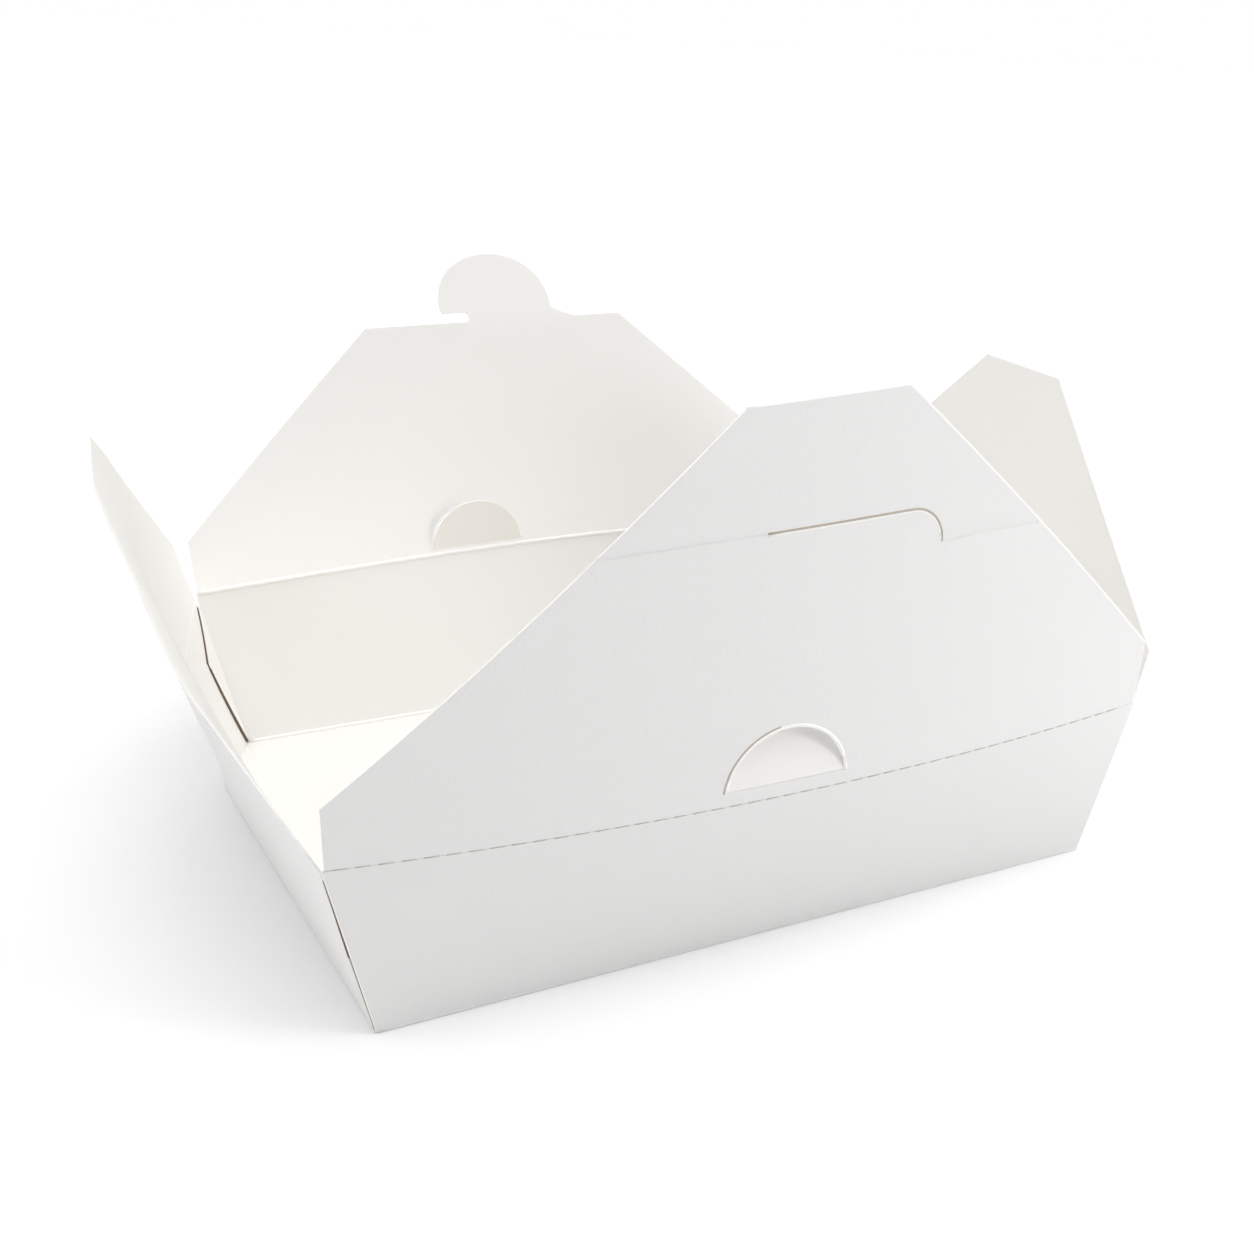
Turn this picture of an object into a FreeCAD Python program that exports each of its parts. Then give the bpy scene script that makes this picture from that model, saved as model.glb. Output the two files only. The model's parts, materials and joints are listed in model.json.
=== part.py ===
import FreeCAD, Part
import math
import os

import Sketcher

# Takeout food box: one die-cut sheet of white paperboard, folded into a flared tray whose corners
# are glued, with a flap hinged on each of the four sides. All four flaps stand open.
# Millimetres. +X runs along the tray, -Y is the front, +Z is up, and the origin is the centre of the
# floor's underside.

SIZES = [
    ("floor_length", 197.0, "tray floor, along X"),
    ("floor_width", 150.0, "tray floor, along Y"),
    ("rim_length", 215.0, "tray rim, along X"),
    ("rim_width", 161.0, "tray rim, along Y"),
    ("board", 0.55, "thickness of the paperboard"),
    ("fold_radius", 0.4, "outside radius of the folds round the floor and up the corners"),
    ("end_fold_height", 46.9, "height of the end flaps' folds"),
    ("fold_step", 0.8, "each next flap's fold is this much higher, so that closed flaps stack"),
    ("bead_radius", 0.3, "radius of the crushed bead along a flap's fold"),
    ("bead_gap", 0.3, "air between a bead and the tray's rim"),
    ("slot_at_floor", 0.5, "gap between an end wall's cut edge and the corner, at the floor"),
    ("slot_at_rim", 1.3, "the same gap at the rim"),
    ("tab_width", 13.0, "widest part of a corner glue tab"),
    ("tab_low", 0.3, "where the glue tab reaches its width, as a share of the wall"),
    ("tab_high", 0.68, "where the glue tab narrows again, as a share of the wall"),
    ("front_half", 106.0, "half of the front flap's length at its fold"),
    ("front_shoulder", 16.3, "straight part of the front flap's short edges"),
    ("front_tip", 19.5, "half of the front flap's top edge"),
    ("front_depth", 91.0, "front flap, fold to top edge"),
    ("front_lean", 1.0, "front flap's lean outwards, degrees"),
    ("back_half", 105.5, "half of the back flap's length at its fold"),
    ("back_shoulder", 15.8, "straight part of the back flap's short edges"),
    ("back_tip", 43.8, "half of the back flap's top edge"),
    ("back_depth", 79.5, "back flap, fold to top edge"),
    ("back_lean", 35.0, "back flap's lean outwards, degrees"),
    ("end_half", 78.0, "half of an end flap's length at its fold"),
    ("end_shoulder", 14.0, "straight part of an end flap's short edges"),
    ("end_tip", 16.0, "half of an end flap's top edge"),
    ("end_depth", 72.5, "end flap, fold to top edge"),
    ("left_lean", 23.0, "left flap's lean outwards, degrees"),
    ("right_lean", 11.0, "right flap's lean outwards, degrees"),
    ("vent_half", 15.6, "half of a vent's straight base"),
    ("vent_rise", 14.2, "vent, base to crown"),
    ("vent_cut", 0.15, "width of the cut round a vent tab"),
    ("front_vent_base", 3.4, "front vent's base above the fold"),
    ("front_vent_offset", -4.5, "front vent's centre along the flap, towards the left"),
    ("front_vent_push", 28.0, "how far the front vent tab is pushed inwards, degrees"),
    ("back_vent_base", 2.0, "back vent's base above the fold"),
    ("back_vent_offset", 18.6, "back vent's centre along the flap, seen from outside"),
    ("back_vent_push", 22.0, "how far the back vent tab is pushed inwards, degrees"),
    ("slit_height", 63.9, "lock slit above the front flap's fold"),
    ("slit_width", 0.4, "width of the lock slit"),
    ("slit_start", -28.5, "left end of the lock slit"),
    ("slit_bend", 23.3, "where the lock slit starts to curve down"),
    ("slit_curve", 8.5, "radius of the lock slit's curved end"),
    ("crease_width", 0.9, "width of a pressed crease"),
    ("crease_depth", 0.12, "depth of a pressed crease"),
    ("notch_height", 3.4, "gap between the hook tab and the flap's top edge"),
    ("notch_root", 8.0, "inner end of the notch, from the flap's centre, seen from outside"),
    ("hook_start", 17.3, "hooked side of the hook tab, from the flap's centre"),
    ("hook_end", 21.0, "sloping side of the hook tab, from the flap's centre"),
    ("hook_rise", 19.8, "hook tab, underside to crown"),
    ("hook_foot", 29.3, "where the hook tab's slope meets the top edge"),
]


class Measure:
    """A length or angle that keeps, beside its number, the sheet formula it comes from."""

    def __init__(self, value, formula):
        self.value = float(value)
        self.formula = formula

    @staticmethod
    def of(other):
        return other if isinstance(other, Measure) else Measure(other, repr(float(other)))

    def __add__(self, other):
        other = Measure.of(other)
        return Measure(self.value + other.value, f"({self.formula} + {other.formula})")

    def __sub__(self, other):
        other = Measure.of(other)
        return Measure(self.value - other.value, f"({self.formula} - {other.formula})")

    def __mul__(self, other):
        other = Measure.of(other)
        return Measure(self.value * other.value, f"({self.formula} * {other.formula})")

    def __truediv__(self, other):
        other = Measure.of(other)
        return Measure(self.value / other.value, f"({self.formula} / {other.formula})")

    def __neg__(self):
        return self * -1.0


def angle_of(rise):
    """The angle in degrees whose tangent is rise."""
    return Measure(math.degrees(math.atan(rise.value)), f"(atan({rise.formula}) / 1 deg)")


def slant(run, rise):
    """Length of the slanted side over run and rise."""
    return Measure(math.hypot(run.value, rise.value), f"sqrt({run.formula}^2 + {rise.formula}^2)")


def on_line(start, end, share):
    """The point at a share of the way from start to end."""
    return tuple(a + (b - a) * share for a, b in zip(start, end))


doc = FreeCAD.newDocument("takeout_food_box")
sheet = doc.addObject("Spreadsheet::Sheet", "Sizes")
size = {}
for row, (alias, number, meaning) in enumerate(SIZES, start=1):
    sheet.set(f"A{row}", alias)
    sheet.set(f"B{row}", str(number))
    sheet.set(f"C{row}", meaning)
    sheet.setAlias(f"B{row}", alias)
    size[alias] = Measure(number, f"Sizes.{alias}")
doc.recompute()

ZERO = Measure(0, "0")
TAB_TAPER = 0.8  # upper width of a glue tab over its lower width
board = size["board"]


def leaning_plane(turn, out, height, lean):
    """Formula of a panel's frame: local X along the fold, Y up the panel, Z out of the box.

    turn is the side of the box that the panel stands on: 0 front, 90 right, 180 back, -90 left.
    out is the distance from the box's centre to the fold, and lean the angle outwards.
    """
    radians = math.radians(turn)
    along_x = round(math.sin(radians))
    along_y = -round(math.cos(radians))
    return (f"placement(vector({along_x} * {out.formula}; {along_y} * {out.formula}; {height.formula}); "
            f"rotation(vector(0; 0; 1); {turn}) * rotation(vector(1; 0; 0); 90 + {lean.formula}))")


def new_body(label):
    body = doc.addObject("PartDesign::Body", label)
    body.Label = label
    return body


def plane_of(body, role):
    return next(part for part in body.Origin.OriginFeatures if part.Role == role)


def new_sketch(body, name, role="XY_Plane", offset=None):
    """A sketch on one of the body's own planes, moved by an offset formula."""
    sketch = body.newObject("Sketcher::SketchObject", name)
    sketch.AttachmentSupport = [(plane_of(body, role), "")]
    sketch.MapMode = "FlatFace"
    if offset:
        sketch.setExpression("AttachmentOffset", offset)
    return sketch


def raised(height):
    """Offset formula of a level plane at a height."""
    return f"placement(vector(0; 0; {height.formula}); rotation(vector(0; 0; 1); 0))"


def pin(sketch, geometry, point, x=None, y=None):
    """Ties one point of a sketch's geometry to the sheet."""
    for kind, measure in (("DistanceX", x), ("DistanceY", y)):
        if measure is not None:
            index = sketch.addConstraint(Sketcher.Constraint(kind, geometry, point, measure.value))
            sketch.setExpression(f"Constraints[{index}]", measure.formula)


def vector(point):
    return FreeCAD.Vector(point[0].value, point[1].value, 0)


def outline(sketch, corners, arcs=None):
    """A closed outline through the corners.

    arcs maps the number of a side to its arc: which coordinate of the centre is given, that
    coordinate, and the direction, +1 when it runs anticlockwise from its first corner to its second.
    """
    arcs = arcs or {}
    first = sketch.GeometryCount
    ends = []
    for number, start in enumerate(corners):
        end = corners[(number + 1) % len(corners)]
        if number in arcs:
            axis, centre, direction = arcs[number]
            index = sketch.addGeometry(arc_between(start, end, axis, centre, direction))
            ends.append((1, 2) if direction > 0 else (2, 1))
            pin(sketch, index, 3, **{axis: centre})
        else:
            index = sketch.addGeometry(Part.LineSegment(vector(start), vector(end)))
            ends.append((1, 2))
        pin(sketch, index, ends[-1][0], *start)
    for number in range(len(corners)):
        following = (number + 1) % len(corners)
        sketch.addConstraint(Sketcher.Constraint(
            "Coincident", first + number, ends[number][1], first + following, ends[following][0]))


def arc_between(start, end, axis, centre, direction):
    """The arc from start to end, with one coordinate of its centre given."""
    first, second = vector(start), vector(end)
    middle = (first + second) * 0.5
    chord = second - first
    given = centre.value
    if axis == "y":
        hub = FreeCAD.Vector(middle.x - (given - middle.y) * chord.y / chord.x, given, 0)
    else:
        hub = FreeCAD.Vector(given, middle.y - (given - middle.x) * chord.x / chord.y, 0)
    angles = [math.atan2(point.y - hub.y, point.x - hub.x) for point in (first, second)]
    if direction < 0:
        angles.reverse()
    circle = Part.Circle(hub, FreeCAD.Vector(0, 0, 1), (first - hub).Length)
    return Part.ArcOfCircle(circle, angles[0], angles[1])


def rectangle(sketch, low, high):
    outline(sketch, [low, (high[0], low[1]), high, (low[0], high[1])])


def add_feature(body, kind, name, sketch, **properties):
    feature = body.newObject(f"PartDesign::{kind}", name)
    feature.Profile = sketch
    for key, content in properties.items():
        setattr(feature, key, content)
    return feature


def pad_plate(body, name, sketch):
    """A plate of board thickness, half of it on each side of the sketch."""
    plate = add_feature(body, "Pad", name, sketch, Midplane=True)
    plate.setExpression("Length", board.formula)
    return plate


def cut_through(body, name, sketch):
    """A pocket right through the board, from the middle plane to both sides."""
    return add_feature(body, "Pocket", name, sketch, Type=1, Midplane=True)


# Tray

end_fold = size["end_fold_height"]
front_fold = end_fold + size["fold_step"]
back_fold = front_fold + size["fold_step"]
under_bead = size["bead_radius"] + size["bead_gap"]


def level_length(height):
    """Outside length of the tray at a height; rim_length is reached at the front fold."""
    return size["floor_length"] + (size["rim_length"] - size["floor_length"]) * (height / front_fold)


def level_width(height):
    """Outside width of the tray at a height."""
    return size["floor_width"] + (size["rim_width"] - size["floor_width"]) * (height / front_fold)


def tapered_block(body, kind, name, heights, low, high):
    """A block between two level rectangles, each given as its x range and its y range."""
    wedge = body.newObject(f"PartDesign::{kind}Wedge", name)
    wedge.AttachmentSupport = [(plane_of(body, "XZ_Plane"), "")]
    wedge.MapMode = "FlatFace"
    (low_x, low_y), (high_x, high_y) = low, high
    limits = {
        "Ymin": heights[0], "Ymax": heights[1],
        "Xmin": low_x[0], "Xmax": low_x[1], "Zmin": -low_y[1], "Zmax": -low_y[0],
        "X2min": high_x[0], "X2max": high_x[1], "Z2min": -high_y[1], "Z2max": -high_y[0],
    }
    for key, measure in limits.items():
        wedge.setExpression(key, measure.formula)
    return wedge


def level_section(height, inset):
    """The tray's outside at a height, drawn in by inset."""
    half_x = level_length(height) / 2 - inset
    half_y = level_width(height) / 2 - inset
    return (-half_x, half_x), (-half_y, half_y)


def flared_block(body, kind, name, heights, inset):
    return tapered_block(body, kind, name, heights, *(level_section(height, inset) for height in heights))


def ordered(first, second):
    return (first, second) if first.value < second.value else (second, first)


def corner_slot(body, side_x, side_y):
    """Opens the gap between an end wall's cut edge and the fold of the front or back wall."""
    heights = (board, back_fold)
    sections = []
    for height, gap in zip(heights, (size["slot_at_floor"], size["slot_at_rim"])):
        outer_x = level_length(height) / 2 * side_x
        outer_y = level_width(height) / 2 * side_y
        sections.append((ordered(outer_x + board * side_x, outer_x - board * side_x),
                         ordered(outer_y + board * side_y, outer_y - gap * side_y)))
    return tapered_block(body, "Subtractive", "corner_slot", heights, *sections)


def glue_tabs(body, name, turn):
    """The two glue tabs inside one end wall, each an outline from corner fold to free edge."""
    flare = (size["rim_length"] - size["floor_length"]) / 2
    lean = angle_of(flare / front_fold)
    inner = size["floor_length"] / 2 - board
    top = end_fold - under_bead - board / 2
    sketch = new_sketch(body, f"{name}_outline", offset=leaning_plane(turn, inner, ZERO, lean))
    for side in (-1, 1):
        foot = ((size["floor_width"] / 2 - board / 2) * side, board)
        head = ((level_width(top) / 2 - board / 2) * side, slant(flare, front_fold) * (top / front_fold))
        low = on_line(foot, head, size["tab_low"])
        high = on_line(foot, head, size["tab_high"])
        reach = size["tab_width"] * side
        outline(sketch, [foot, head, (high[0] - reach * TAB_TAPER, high[1]), (low[0] - reach, low[1])])
    tabs = add_feature(body, "Pad", name, sketch, Reversed=True)
    tabs.setExpression("Length", board.formula)
    return tabs


def lower_rim(body, name, fold, range_x, range_y):
    """Takes one wall's top edge down to just under its flap's bead."""
    section = (ordered(*range_x), ordered(*range_y))
    heights = (fold - under_bead, back_fold)
    return tapered_block(body, "Subtractive", name, heights, section, section)


def make_tray():
    body = new_body("tray")
    back_top = back_fold - under_bead
    flared_block(body, "Additive", "shell", (ZERO, back_top), ZERO)
    doc.recompute()
    shell = body.Tip
    folded = [f"Edge{number}" for number, edge in enumerate(shell.Shape.Edges, start=1)
              if edge.BoundBox.ZMin < board.value]
    folds = body.newObject("PartDesign::Fillet", "outer_folds")
    folds.Base = (shell, folded)
    folds.setExpression("Radius", size["fold_radius"].formula)
    doc.recompute()
    flared_block(body, "Subtractive", "cavity", (board, back_top), board)
    for side_x in (-1, 1):
        for side_y in (-1, 1):
            corner_slot(body, side_x, side_y)
    glue_tabs(body, "right_glue_tabs", 90)
    glue_tabs(body, "left_glue_tabs", -90)
    middle_x, middle_y = size["floor_length"] / 4, size["floor_width"] / 4
    past_x, past_y = size["rim_length"], size["rim_width"]
    lower_rim(body, "front_rim", front_fold, (-past_x, past_x), (-past_y, -middle_y))
    between = level_width(end_fold) / 2 - board
    for side in (-1, 1):
        lower_rim(body, "end_rim", end_fold, (past_x * side, middle_x * side), (-between, between))
    return body


# Flaps

def fold_bead(body, half):
    """The bead that the board is crushed into along the flap's fold."""
    sketch = new_sketch(body, "bead_section", "YZ_Plane")
    index = sketch.addGeometry(Part.Circle(
        FreeCAD.Vector(0, 0, 0), FreeCAD.Vector(0, 0, 1), size["bead_radius"].value))
    sketch.addConstraint(Sketcher.Constraint("Coincident", index, 3, -1, 1))
    radius = sketch.addConstraint(Sketcher.Constraint("Radius", index, size["bead_radius"].value))
    sketch.setExpression(f"Constraints[{radius}]", size["bead_radius"].formula)
    bead = add_feature(body, "Pad", "bead", sketch, Midplane=True)
    bead.setExpression("Length", (half * 2).formula)
    return bead


def flap_sides(half, shoulder, tip, depth):
    """Corners of a flap's outline, anticlockwise from the left end of its fold."""
    left = [(-tip, depth), (-half, shoulder), (-half, ZERO)]
    right = [(half, ZERO), (half, shoulder), (tip, depth)]
    return left, right


def half_moon(sketch, offset, base, half, rise):
    """A vent's outline: a straight base and an arc over it."""
    sagitta_centre = (rise * rise - half * half) / (rise * 2)
    outline(sketch, [(offset - half, base), (offset + half, base)],
            arcs={1: ("y", base + sagitta_centre, 1)})


def vent(body, offset, base, push):
    """Cuts the half-moon hole and sets its tab pushed inwards about the straight base."""
    hole = new_sketch(body, "vent_hole")
    half_moon(hole, offset, base, size["vent_half"], size["vent_rise"])
    cut_through(body, "vent_opening", hole)
    tab = new_sketch(body, "vent_tab_outline", offset=(
        f"placement(vector(0; {base.formula}; 0); rotation(vector(1; 0; 0); -1 * {push.formula}))"))
    root = board * -0.5
    half_moon(tab, offset, root, size["vent_half"] - size["vent_cut"],
              size["vent_rise"] - size["vent_cut"] - root)
    pad_plate(body, "vent_tab", tab)


def crease(body, name, low, high):
    """A shallow pressed groove on the outside, between two corners of a level strip."""
    sketch = new_sketch(body, f"{name}_outline", offset=raised(board / 2))
    rectangle(sketch, low, high)
    groove = add_feature(body, "Pocket", name, sketch)
    groove.setExpression("Length", size["crease_depth"].formula)
    return groove


def edge_at(height, half, shoulder, tip, depth):
    """Distance from a flap's centre line to its slanted edge, at a height."""
    return half - (half - tip) * ((height - shoulder) / (depth - shoulder))


def flap_body(label, half, turn, across, fold, lean):
    """A body in line with the middle of the wall that it folds from; across is the tray's size there."""
    body = new_body(label)
    fold_bead(body, half)
    body.setExpression("Placement", leaning_plane(turn, across / 2 - board / 2, fold, lean))
    return body


def make_front_flap():
    half, shoulder = size["front_half"], size["front_shoulder"]
    tip, depth = size["front_tip"], size["front_depth"]
    body = flap_body("front_flap", half, 0, level_width(front_fold), front_fold, size["front_lean"])
    panel = new_sketch(body, "panel_outline")
    left, right = flap_sides(half, shoulder, tip, depth)
    outline(panel, left + right)
    pad_plate(body, "panel", panel)
    vent(body, size["front_vent_offset"], size["front_vent_base"], size["front_vent_push"])
    lock_slit(body)
    strip = size["crease_width"] / 2
    uncreased = size["slit_width"]
    for name, height, inner, side in (
            ("left_cross_crease", size["slit_height"], size["slit_start"] - uncreased, -1),
            ("right_cross_crease", size["slit_height"] - size["slit_curve"] + size["slit_width"] / 2,
             size["slit_bend"] + size["slit_curve"] + uncreased, 1)):
        outer = edge_at(height, half, shoulder, tip, depth) * side
        low, high = (outer, inner) if side < 0 else (inner, outer)
        crease(body, name, (low, height - strip), (high, height + strip))
    return body


def lock_slit(body):
    """The slit for the hook tab: a straight cut that ends in a quarter turn down to the crease."""
    sketch = new_sketch(body, "slit_outline")
    half_cut = size["slit_width"] / 2
    top = size["slit_height"] + half_cut
    bottom = size["slit_height"] - half_cut
    centre = bottom - size["slit_curve"] + half_cut * 2
    bend, curve = size["slit_bend"], size["slit_curve"]
    start = size["slit_start"]
    outline(sketch, [
        (start, bottom), (bend, bottom), (bend + (bottom - centre), centre),
        (bend + (top - centre), centre), (bend, top), (start, top)],
        arcs={1: ("y", centre, -1), 3: ("y", centre, 1)})
    return cut_through(body, "lock_slit", sketch)


def make_back_flap():
    half, shoulder = size["back_half"], size["back_shoulder"]
    tip, depth = size["back_tip"], size["back_depth"]
    body = flap_body("back_flap", half, 180, level_width(back_fold), back_fold, size["back_lean"])
    panel = new_sketch(body, "panel_outline")
    left, right = flap_sides(half, shoulder, tip, depth)
    under = depth + size["notch_height"]
    root = size["notch_root"]
    start, end = size["hook_start"], -size["hook_end"]
    half_hook = (start - end) / 2
    crown_centre = under + (size["hook_rise"] * size["hook_rise"] - half_hook * half_hook) / (
        size["hook_rise"] * 2)
    notch = [(root, depth), (root, under), (start, under)]
    slope = [(end, under), (-size["hook_foot"], depth)]
    outline(panel, left + right + notch + slope,
            arcs={6: ("x", root, -1), 8: ("y", crown_centre, 1)})
    pad_plate(body, "panel", panel)
    vent(body, size["back_vent_offset"], size["back_vent_base"], size["back_vent_push"])
    return body


def make_end_flap(label, turn, lean):
    half, shoulder = size["end_half"], size["end_shoulder"]
    tip, depth = size["end_tip"], size["end_depth"]
    body = flap_body(label, half, turn, level_length(end_fold), end_fold, lean)
    panel = new_sketch(body, "panel_outline")
    left, right = flap_sides(half, shoulder, tip, depth)
    outline(panel, left + right)
    pad_plate(body, "panel", panel)
    return body


bodies = [
    make_tray(),
    make_front_flap(),
    make_back_flap(),
    make_end_flap("left_flap", -90, size["left_lean"]),
    make_end_flap("right_flap", 90, size["right_lean"]),
]
doc.recompute()

for item in doc.Objects:
    if "Invalid" in item.State or "Error" in item.State:
        raise RuntimeError(f"{item.Name} failed: {item.State}")
for body in bodies:
    if body.Shape.isNull() or not body.Shape.isValid():
        raise RuntimeError(f"{body.Label} has no valid shape")

os.makedirs("parts", exist_ok=True)
for body in bodies:
    body.Shape.exportStep(f"parts/{body.Label}.step")
    box = body.Shape.BoundBox
    print(f"{body.Label}: {len(body.Shape.Solids)} solid, {body.Shape.Volume:.1f} mm3, "
          f"x {box.XMin:.1f} to {box.XMax:.1f}, y {box.YMin:.1f} to {box.YMax:.1f}, "
          f"z {box.ZMin:.1f} to {box.ZMax:.1f}")
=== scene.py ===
import json
import math

import bpy
from mathutils import Matrix, Vector
from mathutils.geometry import delaunay_2d_cdt


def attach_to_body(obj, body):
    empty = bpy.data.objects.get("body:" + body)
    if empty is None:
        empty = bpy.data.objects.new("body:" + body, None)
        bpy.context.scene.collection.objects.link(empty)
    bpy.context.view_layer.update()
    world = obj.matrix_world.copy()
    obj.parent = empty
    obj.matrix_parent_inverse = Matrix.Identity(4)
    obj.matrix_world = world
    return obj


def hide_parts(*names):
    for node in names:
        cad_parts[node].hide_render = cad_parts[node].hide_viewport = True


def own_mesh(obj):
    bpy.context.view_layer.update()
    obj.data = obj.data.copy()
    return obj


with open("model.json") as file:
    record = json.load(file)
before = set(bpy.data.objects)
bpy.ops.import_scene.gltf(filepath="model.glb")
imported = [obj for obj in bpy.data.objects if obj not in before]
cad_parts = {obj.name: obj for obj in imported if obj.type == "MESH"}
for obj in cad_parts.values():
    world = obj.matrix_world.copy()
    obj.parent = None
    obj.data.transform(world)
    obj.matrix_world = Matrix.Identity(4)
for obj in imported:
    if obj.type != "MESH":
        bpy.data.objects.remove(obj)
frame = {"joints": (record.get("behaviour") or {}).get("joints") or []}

# A takeout food box of white paperboard: how each panel of the folded sheet looks, on the bodies of the
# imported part. Places and sizes are in millimetres, and MM turns them into the scene's metres.
MM = 0.001
UP = Vector((0, 0, 1))
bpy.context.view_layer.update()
joints = {joint["name"]: joint for joint in frame["joints"]}

# Sizes of the folded sheet. The walls lean outwards from the floor to the rim.
BOARD = 0.55
FLOOR_HALF_X = 98.5
FLOOR_HALF_Y = 75.0
RIM_HALF_X = 107.5
RIM_HALF_Y = 80.5
WALL_HEIGHT = 48.0

# How a sheet is meshed: the step of its grid, twice the area under which a triangle is dropped, how
# close two points count as one, and the width of the bevel on its cut edges.
GRID = 3.0
SLIVER = 0.002
SAME_PLACE = 1e-5
EDGE_ROUND = 0.08
# How many steps a long fold is drawn with.
FOLD_STEPS = 60

# Which way each side faces, as a turn from the front in degrees.
SIDE = {"front": 0, "right": 90, "back": 180, "left": 270}

# Each flap: half its length at the fold and where the middle of that is, the heights of its two short
# edges, half its top edge, its depth, where the middle of the top edge is, how much the panel slants
# along the fold, and its lean outwards in degrees. The left flap is sprung, so its lean changes along
# the fold, as pairs of place and angle.
FLAP = {
    "front": {"half": 106.75, "middle": -1.2, "shoulders": (15.8, 16.9), "tip": 19.5, "depth": 91.0,
              "shift": -0.2, "slant": 0.06, "lean": 1.0},
    "back": {"half": 106.0, "middle": 1.0, "shoulders": (15.8, 15.8), "tip": 43.8, "depth": 79.4,
             "shift": -1.2, "slant": -0.02, "lean": 35.0},
    "left": {"half": 78.6, "middle": 0.0, "shoulders": (18.5, 15.0), "tip": 16.0, "depth": 71.0,
             "shift": 0.0, "slant": 0.0, "lean": 23.0,
             "leans": ((-80, 13.6), (-64, 11.1), (-40, 9.7), (-28, 9.3), (-16, 12.5), (16, 17.6), (34, 20.3),
                       (54, 25.5), (80, 25.5))},
    "right": {"half": 78.6, "middle": 0.0, "shoulders": (14.8, 14.8), "tip": 16.8, "depth": 73.4,
              "shift": 1.6, "slant": 0.0, "lean": 11.0},
}


# Materials

def principled(name, colour, roughness, sheen=0.3):
    material = bpy.data.materials.new(name)
    material.use_nodes = True
    shader = material.node_tree.nodes["Principled BSDF"]
    shader.inputs["Base Color"].default_value = (*colour, 1.0)
    shader.inputs["Roughness"].default_value = roughness
    shader.inputs["Specular IOR Level"].default_value = sheen
    return material


def add_fibres(material, depth, size):
    """A fine wrinkled relief, like pressed paper fibres, with its depth in metres."""
    nodes = material.node_tree.nodes
    links = material.node_tree.links
    place = nodes.new("ShaderNodeTexCoord")
    noise = nodes.new("ShaderNodeTexNoise")
    noise.inputs["Scale"].default_value = size
    noise.inputs["Detail"].default_value = 3.0
    noise.inputs["Roughness"].default_value = 0.55
    noise.inputs["Distortion"].default_value = 1.2
    bump = nodes.new("ShaderNodeBump")
    bump.inputs["Strength"].default_value = 1.0
    bump.inputs["Distance"].default_value = depth
    links.new(place.outputs["Object"], noise.inputs["Vector"])
    links.new(noise.outputs["Fac"], bump.inputs["Height"])
    links.new(bump.outputs["Normal"], nodes["Principled BSDF"].inputs["Normal"])


board_outside = principled("board_outside", (0.8, 0.795, 0.79), 0.6)
board_inside = principled("board_inside", (0.875, 0.862, 0.836), 0.65)
# Lighter white for the board's cut edges, also put on beads along folds, ridges and cuts as painted
# highlight.
board_edge_and_highlight = principled("board_edge_and_highlight", (0.95, 0.94, 0.92), 0.8)
# A lighter copy of the outside board for the vent tabs' outer faces: painted light.
tab_outside_painted_light = principled("tab_outside_painted_light", (0.86, 0.85, 0.835), 0.6)
# Grey-brown for the dashes of the fold's cut: painted shade in the slots.
fold_cut_shade = principled("fold_cut_shade", (0.6, 0.57, 0.53), 0.9)
# A darker, warmer copy of the inside board for the vent tabs' inner faces: painted shade.
tab_inside_painted_shade = principled("tab_inside_painted_shade", (0.87, 0.84, 0.79), 0.65)
# Tan for cut edges away from the light and for the slit's dark line: painted shade.
cut_edge_shade = principled("cut_edge_shade", (0.5, 0.44, 0.37), 0.9)
# Dark brown for the glue lines, and painted shadow in the corner gaps and under the glue tabs' free edges.
glue_and_gap_shadow = principled("glue_and_gap_shadow", (0.16, 0.11, 0.07), 0.9)
add_fibres(board_outside, 0.00006, 900.0)
add_fibres(board_inside, 0.00002, 700.0)


# How a bow is spread along a fold: 0 at both ends and about 1 where it stands out most.

def dome(half, lean=0.0):
    """A parabola over the fold, which can lean towards one end."""
    def swell(a):
        return (1.0 - (a / half) ** 2) * (1.0 + lean * a / half)
    return swell


def tent(half, peak, start=0.0, end=0.0, soft=0.03):
    """Two straight slopes that meet in a soft peak, and leave off at start and end."""
    def swell(a):
        rise = start + (1 - start) * (a + half) / (peak + half)
        fall = end + (1 - end) * (half - a) / (half - peak)
        return max(0.0, (rise + fall - math.hypot(rise - fall, soft)) / 2)
    return swell


def blend_between(pairs):
    """A line through the pairs of place and value."""
    def value(a):
        for (a0, v0), (a1, v1) in zip(pairs, pairs[1:]):
            if a <= a1:
                return v0 + (v1 - v0) * (max(a, a0) - a0) / (a1 - a0)
        return pairs[-1][1]
    return value


def no_swell(a):
    return 0.0


def towards_front(length):
    """A share that grows along the right wall, over that length, to 1 at its front end."""
    def swell(a):
        return 0.5 - a / length
    return swell


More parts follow.
